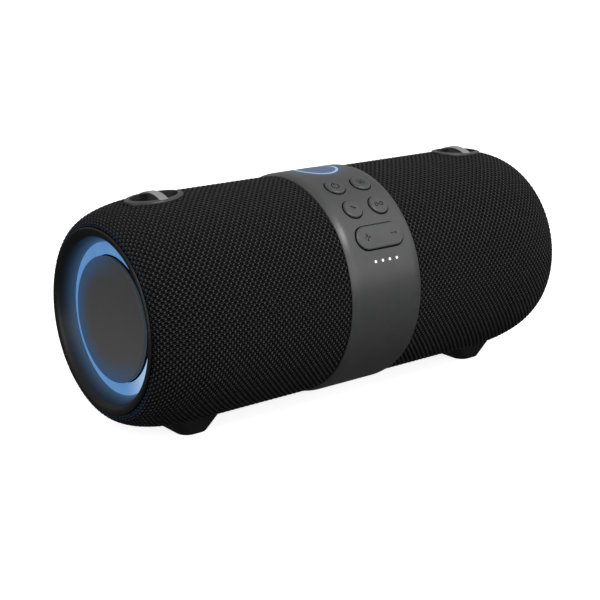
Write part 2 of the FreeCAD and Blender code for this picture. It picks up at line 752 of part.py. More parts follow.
def usb_c_socket():
    shell = port_sockets()["usb_c_socket"]
    shell = rounded(shell, 1.4, lambda b: b.YLength > PORT_DEPTH - 0.1)
    z = PORT_BOARD_TOP + USB_C_SIZE[1] / 2
    front = PORT_PLATE_FRONT
    hollow = box((USB_C_X - 4.1, USB_C_X + 4.1), (front - 7, front + 1), (z - 1.2, z + 1.2))
    hollow = rounded(hollow, 1.1, lambda b: b.YLength > 7)
    tongue = box((USB_C_X - 3.2, USB_C_X + 3.2), (front - 7, front - 1), (z - 0.35, z + 0.35))
    return shell.cut(hollow).fuse(tongue).removeSplitter()


def usb_a_socket():
    shell = port_sockets()["usb_a_socket"]
    half = USB_A_SIZE[0] / 2 - 1.0
    bottom = PORT_BOARD_TOP + 0.3
    top = PORT_BOARD_TOP + USB_A_SIZE[1] - 0.3
    front = PORT_PLATE_FRONT
    low = USB_A_X - half
    high = USB_A_X + half
    hollow = box((low, high), (front - 10, front + 1), (bottom, top))
    tongue = box((low + 0.6, high - 0.6), (front - 10, front - 1), (top - 2.2, top - 0.6))
    return shell.cut(hollow).fuse(tongue).removeSplitter()


def aux_socket():
    shell = port_sockets()["aux_socket"]
    z = PORT_BOARD_TOP + (AUX_SIZE - 0.2) / 2
    bore = rod(AUX_BORE_RADIUS, (AUX_X, PORT_PLATE_FRONT - 11, z), (AUX_X, PORT_PLATE_FRONT + 1, z))
    return shell.cut(bore)


def port_housing():
    """Tray behind the door, with an opening for each socket."""
    half_length = HOUSING_HALF_LENGTH
    half_height = HOUSING_HALF_HEIGHT
    tray = box((-half_length, half_length), (PORT_PLATE_BACK, 56), (-half_height, half_height))
    room = box(
        (-half_length + HOUSING_WALL, half_length - HOUSING_WALL),
        (PORT_PLATE_FRONT, 57),
        (-half_height + HOUSING_WALL, half_height - HOUSING_WALL),
    )
    tray = tray.cut(room).common(drum(BAND_INNER_RADIUS, (-20, 20)))
    tray = tray.cut(drum(CASE_WAIST_RADIUS, (-20, 20)))
    return tray.cut(Part.makeCompound(list(port_sockets().values())))


def port_board():
    """Small circuit board that the sockets stand on."""
    back = PORT_PLATE_FRONT - PORT_DEPTH - 3
    bottom = PORT_BOARD_TOP - PORT_BOARD_THICKNESS
    return box((-15.5, 15.5), (back, PORT_PLATE_BACK - 2.6), (bottom, PORT_BOARD_TOP))


def port_window():
    """Way through the enclosure's waist for the sockets and their board."""
    return box((-16, 16), (30, 60), (-5.2, 3.6))


def case_profile(inset):
    """Outline of the enclosure, this far inside its outer face."""
    radius = CASE_RADIUS - inset
    waist = CASE_WAIST_RADIUS - inset
    end_radius = CASE_END_RADIUS - inset
    end = CASE_END - inset
    shoulder_x = CASE_SHOULDER - inset / 2
    step = CASE_STEP_END + inset / 2
    waist_x = CASE_WAIST_END + inset / 2
    return outline(
        (-end, 0),
        (-end, end_radius),
        (-shoulder_x, radius),
        (-step, radius),
        (-waist_x, waist),
        (waist_x, waist),
        (step, radius),
        (shoulder_x, radius),
        (end, end_radius),
        (end, 0),
    )


def case_screw_places():
    return [(sx * x, sz * CASE_SCREW_Z) for x in CASE_SCREW_X for sx in (-1, 1) for sz in (-1, 1)]


def case_screws():
    """Screws that join the enclosure's halves, driven from the rear."""
    screws = []
    for x, z in case_screw_places():
        shank = rod(SCREW_RADIUS, (x, -9, z), (x, BOSS_HALF_LENGTH, z))
        head = rod(SCREW_HEAD_RADIUS, (x, BOSS_HALF_LENGTH, z), (x, BOSS_HALF_LENGTH + 2.4, z))
        recess_y = (BOSS_HALF_LENGTH + 1.2, BOSS_HALF_LENGTH + 4)
        recess = box((x - 1.8, x + 1.8), recess_y, (z - 0.4, z + 0.4))
        screws.append(fused([shank, head]).cut(recess))
    return screws


def driver_pocket():
    """Round recess in the enclosure's front for the right driver: its wall and floor."""
    wall = rod(POCKET_RADIUS + POCKET_WALL, (DRIVER_X, BAFFLE_BACK, 0), (DRIVER_X, -HALF_LENGTH, 0))
    return wall.common(turned(case_profile(0)))


def driver_space():
    """Room for the driver in front of the baffle, and its hole through the baffle."""
    front = rod(POCKET_RADIUS, (DRIVER_X, BAFFLE_FRONT, 0), (DRIVER_X, -HALF_LENGTH, 0))
    hole = rod(DRIVER_HOLE_RADIUS, (DRIVER_X, BAFFLE_BACK + 1, 0), (DRIVER_X, BAFFLE_FRONT - 1, 0))
    return front.fuse(hole)


def enclosure():
    """Whole sealed enclosure, before it is split at the gasket."""
    inside = turned(case_profile(0))
    shell = inside.cut(turned(case_profile(CASE_WALL)))
    cup_z = (STRAP_CUP_BOTTOM - CASE_WALL, CASE_RADIUS + 2)
    cup_room = oval_prism(STRAP_HALF_LENGTH, STRAP_HALF_WIDTH, cup_z, STRAP_X).common(inside)
    additions = [driver_pocket(), cup_room]
    additions += [mirrored(shape) for shape in additions]
    for x, z in case_screw_places():
        boss = rod(BOSS_RADIUS, (x, -BOSS_HALF_LENGTH, z), (x, HALF_LENGTH, z))
        additions.append(boss.common(inside))
    shell = fused([shell] + additions)
    cuts = [port_window()]
    for x, z in case_screw_places():
        cuts.append(rod(SCREW_HEAD_RADIUS + 0.4, (x, BOSS_HALF_LENGTH, z), (x, HALF_LENGTH, z)))
    for shape in (drum(CASE_END_BORE, (CASE_SHOULDER, HALF_LENGTH)), driver_space(), strap_hole()):
        cuts += [shape, mirrored(shape)]
    for shape in cuts:
        shell = shell.cut(shape)
    shell = shell.cut(Part.makeCompound(case_screws()))
    right_screws = Part.makeCompound(radiator_screws())
    shell = shell.cut(right_screws).cut(mirrored(right_screws))
    return shell.cut(Part.makeCompound(driver_screws() + [mirrored(s) for s in driver_screws()]))


def split_enclosure():
    """Front half, rear half and the gasket between them."""
    shell = enclosure()
    reach = HALF_LENGTH
    slab = GASKET_HALF_THICKNESS
    front = shell.common(box((-reach, reach), (-reach, -slab), (-reach, reach)))
    rear = shell.common(box((-reach, reach), (slab, reach), (-reach, reach)))
    gasket = shell.common(box((-reach, reach), (-slab, slab), (-reach, reach)))
    return {"enclosure_front": front, "enclosure_rear": rear, "enclosure_gasket": gasket}


def driver_screws():
    """Four screws of the right driver."""
    screws = []
    for index in range(4):
        angle = math.radians(45 + 90 * index)
        x = DRIVER_X + DRIVER_SCREW_CIRCLE * math.cos(angle)
        z = DRIVER_SCREW_CIRCLE * math.sin(angle)
        shank = rod(1.0, (x, BAFFLE_BACK, z), (x, DRIVER_FLANGE_FACE, z))
        head = rod(1.8, (x, DRIVER_FLANGE_FACE, z), (x, DRIVER_FLANGE_FACE - 1.2, z))
        slot_y = (DRIVER_FLANGE_FACE - 2, DRIVER_FLANGE_FACE - 0.6)
        slot = box((x - 1.2, x + 1.2), slot_y, (z - 0.25, z + 0.25))
        screws.append(fused([shank, head]).cut(slot))
    return screws


def driver_basket():
    """Pressed steel frame of a driver, with six windows."""
    wall = BASKET_WALL_RADIUS
    floor = BASKET_BACK_FRONT
    baffle = -BAFFLE_FRONT
    face = outline(
        (MAGNET_RADIUS, MAGNET_FRONT),
        (wall + 0.3, -BAFFLE_BACK),
        (wall + 0.8, baffle),
        (DRIVER_FLANGE_RADIUS, baffle),
        (DRIVER_FLANGE_RADIUS, BASKET_FACE),
        (wall, BASKET_FACE),
        (wall, baffle + 0.4),
        (MAGNET_RADIUS - 1, floor),
        (COIL_SLOT_RADIUS + 1.1, floor),
        (COIL_SLOT_RADIUS + 1.1, MAGNET_FRONT),
    )
    basket = turned_forward(face, DRIVER_X)
    window = box((-3.6, 3.6), (-34.5, -25.0), (8.0, 24.0))
    windows = []
    for index in range(6):
        cut = window.copy()
        cut.rotate(ORIGIN, Y_AXIS, 60 * index)
        cut.translate(FreeCAD.Vector(DRIVER_X, 0, 0))
        windows.append(cut)
    return basket.cut(Part.makeCompound(windows)).cut(Part.makeCompound(driver_screws()))


def driver_magnet():
    """Magnet, its back plate and the pole that the coil moves round."""
    face = outline(
        (0, MAGNET_BACK),
        (MAGNET_RADIUS, MAGNET_BACK),
        (MAGNET_RADIUS, MAGNET_FRONT),
        (COIL_SLOT_RADIUS, MAGNET_FRONT),
        (COIL_SLOT_RADIUS, COIL_SLOT_BACK),
        (POLE_RADIUS, COIL_SLOT_BACK),
        (POLE_RADIUS, POLE_FRONT),
        (0, POLE_FRONT),
    )
    return turned_forward(face, DRIVER_X)


def driver_cone():
    """Diaphragm with its dust cap and voice coil tube."""
    cap = DUST_CAP_FRONT
    coil_inner = COIL_RADIUS - COIL_WALL
    face = outline(
        (0, cap),
        (DUST_CAP_FLAT, cap),
        ((5.6, cap - 0.7), (COIL_RADIUS + 0.2, cap - 2.4)),
        (CONE_RADIUS, CONE_FRONT),
        (CONE_RADIUS + 0.8, CONE_FRONT),
        (CONE_RADIUS + 0.8, CONE_FRONT - 0.8),
        (CONE_RADIUS + 0.2, CONE_FRONT - 1.0),
        (COIL_RADIUS, cap - 4.0),
        (COIL_RADIUS, COIL_BACK),
        (coil_inner, COIL_BACK),
        (coil_inner, cap - 3.0),
        ((5.2, cap - 1.4), (DUST_CAP_FLAT, cap - 0.8)),
        (0, cap - 0.8),
    )
    return turned_forward(face, DRIVER_X)


def driver_surround():
    """Half roll of rubber between the cone and the frame."""
    back = CONE_FRONT
    front = back + 0.7
    inner = CONE_RADIUS
    outer = BASKET_WALL_RADIUS
    middle = (inner + outer) / 2
    face = outline(
        (inner, back),
        (inner + 0.4, back),
        ((middle, back + 1.7), (outer - 0.6, back)),
        (outer, back),
        (outer, front),
        ((middle, front + 1.8), (inner, front)),
    )
    return turned_forward(face, DRIVER_X)


def arc_panel(inner, outer, half_length, degrees_range):
    """Curved panel under the band, between two angles from the top to the front."""
    ring = tube(outer, inner, (-half_length, half_length))
    low, high = degrees_range
    side_a = around(box((-30, 30), (-80, 0), (-80, 80)), low)
    side_b = around(box((-30, 30), (0, 80), (-80, 80)), high)
    return ring.common(side_a).common(side_b)


def rocker_ears():
    """Pair of lugs that hold the rocker's pin."""
    ears = []
    for side in (-1, 1):
        y_range = sorted((side * 4.5, side * 5.9))
        ears.append(box((ROCKER_X - 1.8, ROCKER_X + 1.8), y_range, (47.0, 51.7)))
    return around(fused(ears), ROCKER_ANGLE)


def key_carrier():
    """Curved plate that holds the key board and the rocker's pin."""
    panel = arc_panel(CARRIER_INNER, CARRIER_OUTER, 17.0, (14, 78))
    return fused([panel, rocker_ears()]).cut(rocker_pin())


def key_board():
    """Flexible circuit under the keys."""
    return arc_panel(CARRIER_OUTER, KEY_BOARD_OUTER, 15.0, (16, 76)).cut(rocker_ears())


def key_switches():
    """One small switch under each round key and two under the rocker."""
    columns = (LEFT_COLUMN, RIGHT_COLUMN)
    places = [(x, degrees) for x in columns for degrees in (UPPER_ROW, LOWER_ROW)]
    places += [(ROCKER_X + side * ROCKER_PLUNGER_OFFSET, ROCKER_ANGLE) for side in (-1, 1)]
    switches = []
    for x, degrees in places:
        body = box((x - 2.3, x + 2.3), (-2.3, 2.3), (KEY_BOARD_OUTER, SWITCH_TOP))
        plunger = rod(1.0, (x, 0, SWITCH_TOP), (x, 0, SWITCH_PLUNGER_TOP))
        switches.append(around(body.fuse(plunger), degrees))
    return switches


def main_board():
    """Circuit board with the amplifier and radio."""
    x_range = (-BOARD_HALF_LENGTH, BOARD_HALF_LENGTH)
    board = box(x_range, (BOARD_FRONT, BOARD_BACK), (BOARD_TOP - BOARD_THICKNESS, BOARD_TOP))
    return rounded(board, 2.0, lambda b: b.ZLength > BOARD_THICKNESS - 0.01)


def board_components():
    """Chips, coils, capacitors and plugs on the main board."""
    chips = [(-18, 4, 9, 9, 1.2), (8, -6, 7, 7, 1.0), (22, 8, 12, 9, 2.0), (-4, 14, 5, 5, 1.0)]
    coils = [(-24, -11, 7, 7, 4.5), (-14, -11, 7, 7, 4.5), (16, -13, 7, 7, 4.5), (25, -13, 7, 7, 4.5)]
    plugs = [(-25, 22, 8, 5, 6.0), (-12, 22, 6, 5, 6.0), (12, 22, 6, 5, 6.0), (25, 22, 8, 5, 6.0)]
    parts = []
    for x, y, length, width, height in chips + coils + plugs:
        x_range = (x - length / 2, x + length / 2)
        parts.append(box(x_range, (y - width / 2, y + width / 2), (BOARD_TOP, BOARD_TOP + height)))
    for x, y in ((-4, 4), (4, 3), (12, 4)):
        parts.append(rod(3.1, (x, y, BOARD_TOP), (x, y, BOARD_TOP + 8)))
    return parts


def battery_cells():
    cells = []
    for y in (-CELL_Y, CELL_Y):
        cells.append(rod(CELL_RADIUS, (-CELL_HALF_LENGTH, y, CELL_Z), (CELL_HALF_LENGTH, y, CELL_Z)))
    return cells


def battery_holder():
    """Cradle for the two cells, with feet up to the main board."""
    cradle = box((-35, 35), (-21, 21), (-40.3, -27))
    cradle = cradle.common(drum(CASE_WAIST_RADIUS - CASE_WALL - 0.1, (-40, 40)))
    posts = []
    for x in (-29, 29):
        for y in (-20.5, 20.5):
            posts.append(rod(2.0, (x, y, -28), (x, y, BOARD_TOP - BOARD_THICKNESS)))
    cells = Part.makeCompound(battery_cells())
    return fused([cradle] + posts).cut(cells)


def all_parts():
    """Every piece by name."""
    pieces = {
        "centre_band": centre_band(),
        "volume_rocker": volume_rocker(),
        "volume_rocker_pin": rocker_pin(),
        "charge_lamps": charge_lamps(),
        "top_ring_lens": lit_ring(),
        "key_carrier": key_carrier(),
        "key_board": key_board(),
        "key_switches": key_switches(),
        "port_door": port_door(),
        "port_door_pin": door_pin(),
        "port_housing": port_housing(),
        "port_board": port_board(),
        "usb_c_socket": usb_c_socket(),
        "usb_a_socket": usb_a_socket(),
        "aux_socket": aux_socket(),
        "main_board": main_board(),
        "board_components": board_components(),
        "battery_cells": battery_cells(),
        "battery_holder": battery_holder(),
        "case_screws": case_screws(),
    }
    pieces.update(buttons())
    pieces.update(split_enclosure())
    paired = {
        "fabric_sleeve": fabric_sleeve(),
        "grille_shell": grille_shell(),
        "strap_cup": strap_cup(),
        "strap_bar": strap_bar(),
        "foot": foot(),
        "end_bezel": end_bezel(),
        "light_diffuser": light_diffuser(),
        "light_board": light_board(),
        "radiator_frame": radiator_frame(),
        "radiator_surround": radiator_surround(),
        "radiator_disc": radiator_disc(),
        "radiator_weight": radiator_weight(),
        "driver_basket": driver_basket(),
        "driver_magnet": driver_magnet(),
        "driver_cone": driver_cone(),
        "driver_surround": driver_surround(),
    }
    for name, shape in paired.items():
        pieces["right_" + name] = shape
        pieces["left_" + name] = mirrored(shape)
    right_screws = radiator_screws() + driver_screws()
    pieces["frame_screws"] = right_screws + [mirrored(screw) for screw in right_screws]
    return pieces


def main():
    os.makedirs("parts", exist_ok=True)
    for name, piece in all_parts().items():
        shape = Part.makeCompound(piece) if isinstance(piece, list) else piece.copy()
        shape.translate(Z_AXIS * AXIS_HEIGHT)
        shape.exportStep("parts/%s.step" % name)
        print(name, "solids", len(shape.Solids), "volume %.1f" % shape.Volume, "valid", shape.isValid())


main()
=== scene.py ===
import math
import bpy
import numpy as np
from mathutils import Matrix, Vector


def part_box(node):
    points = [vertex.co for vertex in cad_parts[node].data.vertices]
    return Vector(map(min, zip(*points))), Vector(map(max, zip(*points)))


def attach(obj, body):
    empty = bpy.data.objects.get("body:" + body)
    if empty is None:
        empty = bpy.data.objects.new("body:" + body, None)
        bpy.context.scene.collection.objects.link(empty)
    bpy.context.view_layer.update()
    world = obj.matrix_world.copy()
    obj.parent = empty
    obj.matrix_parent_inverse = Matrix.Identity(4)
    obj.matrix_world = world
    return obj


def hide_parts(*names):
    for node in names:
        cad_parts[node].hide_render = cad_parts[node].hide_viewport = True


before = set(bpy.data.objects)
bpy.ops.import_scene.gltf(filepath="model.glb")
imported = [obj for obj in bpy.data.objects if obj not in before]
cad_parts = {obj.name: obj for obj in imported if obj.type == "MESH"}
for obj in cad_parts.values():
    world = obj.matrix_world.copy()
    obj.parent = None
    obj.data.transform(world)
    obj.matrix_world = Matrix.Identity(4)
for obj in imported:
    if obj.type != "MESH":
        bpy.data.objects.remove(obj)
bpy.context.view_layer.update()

MM = 0.001
SIDES = {"left": -1, "right": 1}
BLACK = (0.0, 0.0, 0.0)
RING_BLUE = (0.06, 0.22, 0.52)
RING_LAMPS = 16

# Places read from the frame
BAND_LOW, BAND_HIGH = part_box("centre_band")
SLEEVE_LOW, SLEEVE_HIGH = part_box("right_fabric_sleeve")
AXIS_Z = (BAND_LOW.z + BAND_HIGH.z) / 2
DRUM_MIDDLE = Vector((0, 0, AXIS_Z))
FABRIC_RADIUS = SLEEVE_HIGH.z - AXIS_Z
FABRIC_START = SLEEVE_LOW.x
FABRIC_END = SLEEVE_HIGH.x
RING_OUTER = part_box("right_light_diffuser")[1].z - AXIS_Z
DISC_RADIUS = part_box("right_radiator_disc")[1].z - AXIS_Z
CUP_LOW, CUP_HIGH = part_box("right_strap_cup")
FOOT_LOW, FOOT_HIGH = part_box("right_foot")

# Outline of the cloth: its shoulder, the small rolls at its two edges, and how far each edge is
# tucked in behind its roll
SHOULDER_START = 90.0 * MM
SHOULDER_END_RADIUS = 43.4 * MM
BAND_ROLL = 0.8 * MM
BAND_TUCK = 1.4 * MM
END_ROLL = 0.5 * MM
END_TUCK = 1.2 * MM

# Weave: stitches in staggered columns round the drum. The relief fades out near the edges.
STITCH_PITCH = 2.82 * MM
STITCHES_ROUND = 103
SAMPLES_PER_STITCH = 5
SAMPLES_ROUND = STITCHES_ROUND * SAMPLES_PER_STITCH
WEAVE_TOP = 0.30
WEAVE_DEPTH = 0.9 * MM
WEAVE_FADE = 1.8 * MM

# One stitch: heights in millimetres, and how narrow each mark is round and along the drum.
# Cords also have a lean and an offset.
THICK_CORD = {"height": 0.34, "narrow": (75.0, 24.0), "lean": 0.30, "offset": 0.14}
THIN_CORD = {"height": 0.22, "narrow": (90.0, 28.0), "lean": -0.30, "offset": -0.17}
HOLE = {"height": -0.55, "narrow": (42.0, 17.0)}

# How far a strap cup's rim and a foot reach over the cloth that they hide
CUP_COVER = 0.7 * MM
FOOT_COVER = 0.6 * MM

# Feet: half sizes on the ground, and how much they grow up to their top
FOOT_RISE = 8.0 * MM
FOOT_HALF = (7.5 * MM, 22.5 * MM)
FOOT_FLARE = (7.0 * MM, 1.5 * MM)

# Lit ring on top of the band
TOP_RING_LOW, TOP_RING_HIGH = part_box("top_ring_lens")
TOP_RING_CENTRE = (TOP_RING_LOW + TOP_RING_HIGH) / 2
TOP_RING_RADIUS = (TOP_RING_HIGH.x - TOP_RING_LOW.x) / 2

# Blue light of the lit rings: how strongly the diffuser glows, how strongly the light that spills
# from the rings is painted as a glow on the bezel, disc, band and cloth, and how far this painted
# light reaches from the ring
DIFFUSER_GLOW = 0.85
BEZEL_PAINTED_SPILL = 0.36
DISC_PAINTED_SPILL = 0.26
BAND_PAINTED_SPILL = 0.28
CLOTH_PAINTED_SPILL = 0.02
BEZEL_REACH = 5.0 * MM
DISC_REACH = 12.0 * MM
BAND_REACH = 9.0 * MM

# Distance along the drum from which the ring light painted on the cloth's end starts, and from
# which it is full
CLOTH_SPILL_START = 123.0 * MM
CLOTH_SPILL_FULL = 125.2 * MM

# Camera: degrees round from the front and up, and metres from the middle of the drum
CAMERA_AZIMUTH = -38.59
CAMERA_ELEVATION = 15.17
CAMERA_DISTANCE = 0.7068
CAMERA_LENS = 83.85
CAMERA_SHIFT = (-0.0284, -0.0390)

# Soft lights that face the middle of the drum: place, width and height in metres, and watts
LIGHTS = {
    "key_softbox": ((0.15, -0.85, 1.15), (0.6, 0.35), 8.0),
    "front_softbox": ((0.0, -1.5, 0.45), (2.6, 0.7), 7.8),
    "left_softbox": ((-1.5, -0.3, 0.2), (0.8, 0.7), 4.5),
    "right_softbox": ((0.85, -0.5, 0.9), (0.9, 1.1), 1.5),
}

# World light: from below, from above behind, and what the front adds
WORLD_BELOW = 0.06
WORLD_ABOVE = 0.32
WORLD_FRONT = 0.20

FLOOR_REACH = 30.0
FLOOR_GLOW = 0.9

# Colour sockets of a Mix node: two inputs and the output
MIX_FIRST = 6
MIX_SECOND = 7
MIX_RESULT = 2


# ---------------------------------------------------------------- node expressions

class Field:
    """A number in a shader, so that a pattern can be written as an ordinary formula."""

    def __init__(self, tree, socket):
        self.tree = tree
        self.socket = socket

    def math(self, operation, *others):
        node = self.tree.nodes.new("ShaderNodeMath")
        node.operation = operation
        self.tree.links.new(self.socket, node.inputs[0])
        for index, other in enumerate(others, 1):
            if isinstance(other, Field):
                self.tree.links.new(other.socket, node.inputs[index])
            else:
                node.inputs[index].default_value = other
        return Field(self.tree, node.outputs[0])

    def __add__(self, other):
        return self.math("ADD", other)

    def __sub__(self, other):
        return self.math("SUBTRACT", other)

    def __mul__(self, other):
        return self.math("MULTIPLY", other)

    def __neg__(self):
        return self.math("MULTIPLY", -1.0)

    __radd__ = __add__
    __rmul__ = __mul__

    def clamped(self, low, high):
        """0 below low and 1 above high, smooth between."""
        node = self.tree.nodes.new("ShaderNodeMapRange")
        node.interpolation_type = "SMOOTHSTEP"
        node.inputs["From Min"].default_value = low
        node.inputs["From Max"].default_value = high
        self.tree.links.new(self.socket, node.inputs["Value"])
        return Field(self.tree, node.outputs["Result"])


def fract(value):
    return value.math("FRACT") if isinstance(value, Field) else value - np.floor(value)


def exp(value):
    return value.math("EXPONENT") if isinstance(value, Field) else np.exp(value)


def mark(shape, round_drum, along):
    """Soft round mound or pit of the weave."""
    narrow_round, narrow_along = shape["narrow"]
    spread = round_drum * round_drum * narrow_round + along * along * narrow_along
    return shape["height"] * exp(-spread)


def weave_height(u, v):
    """Height of the cloth in millimetres at u stitches along the drum and v stitches round it.

    Holes lie in staggered columns. Between two holes a thick cord leans one way and a thin one
    leans the other way.
    """
    height = 0.0
    for stagger in (0.0, 0.5):
        along = fract(u + (0.5 - stagger)) - 0.5
        hole_round = fract(v + (0.5 - stagger)) - 0.5
        cord_round = fract(v + (1.0 - stagger)) - 0.5
        for cord in (THICK_CORD, THIN_CORD):
            leaning = cord_round + cord["lean"] * along + cord["offset"]
            height = height + mark(cord, leaning, along)
        height = height + mark(HOLE, hole_round, along)
    return height


# ---------------------------------------------------------------- materials

class Material:
    """A Principled material built up from named pattern nodes."""

    def __init__(self, name, **settings):
        self.material = bpy.data.materials.new(name)
        self.material.use_nodes = True
        self.tree = self.material.node_tree
        self.shader = self.tree.nodes["Principled BSDF"]
        self.coordinates = self.tree.nodes.new("ShaderNodeTexCoord").outputs["Object"]
        for key, value in settings.items():
            self.shader.inputs[key.replace("_", " ")].default_value = value
        self.bump_normal = None

    def field(self, socket):
        return Field(self.tree, socket)

    def position(self):
        """x, y, and height over the drum's axis, as fields in metres."""
        split = self.tree.nodes.new("ShaderNodeSeparateXYZ")
        self.tree.links.new(self.coordinates, split.inputs[0])
        x, y, z = (self.field(output) for output in split.outputs)
        return x, y, z - AXIS_Z

    def radius(self):
        """Distance from the drum's axis."""
        _, y, z = self.position()
        return (y * y + z * z).math("SQRT")

    def noise(self, size_mm, detail=3.0, roughness=0.55, stretch=(1, 1, 1)):
        """Cloudy pattern of about 0 to 1."""
        mapping = self.tree.nodes.new("ShaderNodeMapping")
        mapping.inputs["Scale"].default_value = stretch
        noise = self.tree.nodes.new("ShaderNodeTexNoise")
        noise.inputs["Scale"].default_value = 1000.0 / size_mm
        noise.inputs["Detail"].default_value = detail
        noise.inputs["Roughness"].default_value = roughness
        self.tree.links.new(self.coordinates, mapping.inputs["Vector"])
        self.tree.links.new(mapping.outputs[0], noise.inputs["Vector"])
        return self.field(noise.outputs["Fac"])

    def grains(self, size_mm):
        """Small pits or grains, as moulded plastic texture has."""
        cells = self.tree.nodes.new("ShaderNodeTexVoronoi")
        cells.feature = "SMOOTH_F1"
        cells.inputs["Scale"].default_value = 1000.0 / size_mm
        self.tree.links.new(self.coordinates, cells.inputs["Vector"])
        return self.field(cells.outputs["Distance"])

    def edges(self, reach_mm):
        """0 on flats, rising to 1 at sharp edges."""
        bevel = self.tree.nodes.new("ShaderNodeBevel")
        bevel.samples = 4
        bevel.inputs["Radius"].default_value = reach_mm * MM
        geometry = self.tree.nodes.new("ShaderNodeNewGeometry")
        agreement = self.tree.nodes.new("ShaderNodeVectorMath")
        agreement.operation = "DOT_PRODUCT"
        self.tree.links.new(bevel.outputs[0], agreement.inputs[0])
        self.tree.links.new(geometry.outputs["Normal"], agreement.inputs[1])
        return -self.field(agreement.outputs["Value"]).clamped(0.80, 1.0) + 1.0

    def openness(self, reach_mm):
        """1 in the open, falling to 0 deep in a groove."""
        occlusion = self.tree.nodes.new("ShaderNodeAmbientOcclusion")
        occlusion.samples = 8
        occlusion.inputs["Distance"].default_value = reach_mm * MM
        return self.field(occlusion.outputs["AO"])

    def mix(self, factor, first, second):
        """Colour between the first, at factor 0, and the second, at factor 1."""
        mix = self.tree.nodes.new("ShaderNodeMix")
        mix.data_type = "RGBA"
        self.tree.links.new(factor.socket, mix.inputs["Factor"])
        for value, key in ((first, MIX_FIRST), (second, MIX_SECOND)):
            if isinstance(value, tuple):
                mix.inputs[key].default_value = (*value, 1.0)
            else:
                self.tree.links.new(value, mix.inputs[key])
        return mix.outputs[MIX_RESULT]

    def colour(self, socket):
        self.tree.links.new(socket, self.shader.inputs["Base Color"])

    def glow(self, socket, strength):
        self.tree.links.new(socket, self.shader.inputs["Emission Color"])
        self.shader.inputs["Emission Strength"].default_value = strength

    def roughness(self, factor, low, high):
        """Roughness from low, at factor 0, to high, at factor 1."""
        ranged = factor * (high - low) + low
        self.tree.links.new(ranged.socket, self.shader.inputs["Roughness"])

    def bump(self, height, depth_mm, strength=1.0):
        """Fine relief, added on top of any bump that the material already has."""
        node = self.tree.nodes.new("ShaderNodeBump")
        node.inputs["Distance"].default_value = depth_mm * MM
        node.inputs["Strength"].default_value = strength
        self.tree.links.new(height.socket, node.inputs["Height"])
        if self.bump_normal is not None:
            self.tree.links.new(self.bump_normal, node.inputs["Normal"])
        self.bump_normal = node.outputs["Normal"]
        self.tree.links.new(self.bump_normal, self.shader.inputs["Normal"])


def grey(level):
    return (level, level, level)


def grained(name, dark, light, grain_mm=0.35, grain_depth=0.02, rough=(0.4, 0.6), **settings):
    """Moulded plastic or rubber: fine grain, faint mottling, slightly polished edges and shade
    painted dark into grooves.
    """
    made = Material(name, **settings)
    mottle = made.noise(9.0, 4.0)
    fine = made.noise(grain_mm, 2.0)
    edges = made.edges(0.5)
    body = made.mix((mottle * 0.6 + fine * 0.4).clamped(0.3, 0.7), dark, light)
    worn = tuple(channel * 1.5 + 0.005 for channel in light)
    # Painted shade: the colour fades to black deep in grooves and recesses
    painted_groove_shade = made.openness(1.2).clamped(0.45, 0.90)
    body = made.mix(edges * 0.6, body, worn)
    made.colour(made.mix(painted_groove_shade, BLACK, body))
    made.roughness(mottle * 0.5 + fine * 0.5, *rough)
    made.bump(fine, grain_depth)
    made.bump(made.grains(grain_mm * 2.2), grain_depth * 0.6, 0.6)
    return made


def fabric_material():
    """Black polyester cord: near-black holes where shade is painted, grey cord tops, fine fibres.
    """
    made = Material("woven_black_cord", Specular_IOR_Level=0.15)
    uv = made.tree.nodes.new("ShaderNodeUVMap")
    uv.uv_map = "stitches"
    split = made.tree.nodes.new("ShaderNodeSeparateXYZ")
    made.tree.links.new(uv.outputs[0], split.inputs[0])
    u, v = (made.field(split.outputs[index]) for index in (0, 1))
    height = weave_height(u, v)
    fibre = made.noise(0.22, 2.0)
    uneven = made.noise(3.4, 3.0)
    # Painted shade: the holes are coloured near black, much darker than the cord
    tops = (height + uneven * 0.12 - 0.06).clamped(0.04, 0.36)
    cord = made.mix(fibre, (0.04, 0.04, 0.041), (0.15, 0.151, 0.153))
    made.colour(made.mix(tops, (0.0015, 0.0015, 0.0016), cord))
    made.roughness(fibre, 0.45, 0.7)
    made.bump(height, 1.0)
    made.bump(fibre, 0.06)
    # Painted light: blue ring light spilling onto the cloth's ends, drawn as a glow
    x, _, z = made.position()
    beside = x.math("ABSOLUTE").clamped(CLOTH_SPILL_START, CLOTH_SPILL_FULL)
    above_or_below = z.math("ABSOLUTE").clamped(10.0 * MM, 30.0 * MM)
    made.glow(made.mix(beside * above_or_below, BLACK, RING_BLUE), CLOTH_PAINTED_SPILL)
    return made.material


def band_material(name, tone_and_spill=1.0, rough=(0.30, 0.38)):
    """Grey satin plastic with a very fine grain, with the light of the lit ring on top painted
    round it as a blue glow.
    """
    dark = grey(0.048 * tone_and_spill)
    light = (0.060 * tone_and_spill, 0.061 * tone_and_spill, 0.062 * tone_and_spill)
    made = grained(name, dark, light, grain_mm=0.28, rough=rough, Specular_IOR_Level=0.6)
    # Painted light: blue glow round the top ring, standing in for the light it spills on the band
    x, y, z = made.position()
    across = x - TOP_RING_CENTRE.x
    along = y - TOP_RING_CENTRE.y
    reach = (across * across + along * along).math("SQRT")
    inside = -reach.clamped(TOP_RING_RADIUS - 2.0 * MM, TOP_RING_RADIUS) + 1.0
    beside = -reach.clamped(TOP_RING_RADIUS - 3.0 * MM, TOP_RING_RADIUS + BAND_REACH) + 1.0
    top = z.clamped(0.0, 30.0 * MM)
    lit = (inside * 0.4 + beside * beside * 0.6) * top
    made.glow(made.mix(lit, BLACK, RING_BLUE), BAND_PAINTED_SPILL)
    return made.material


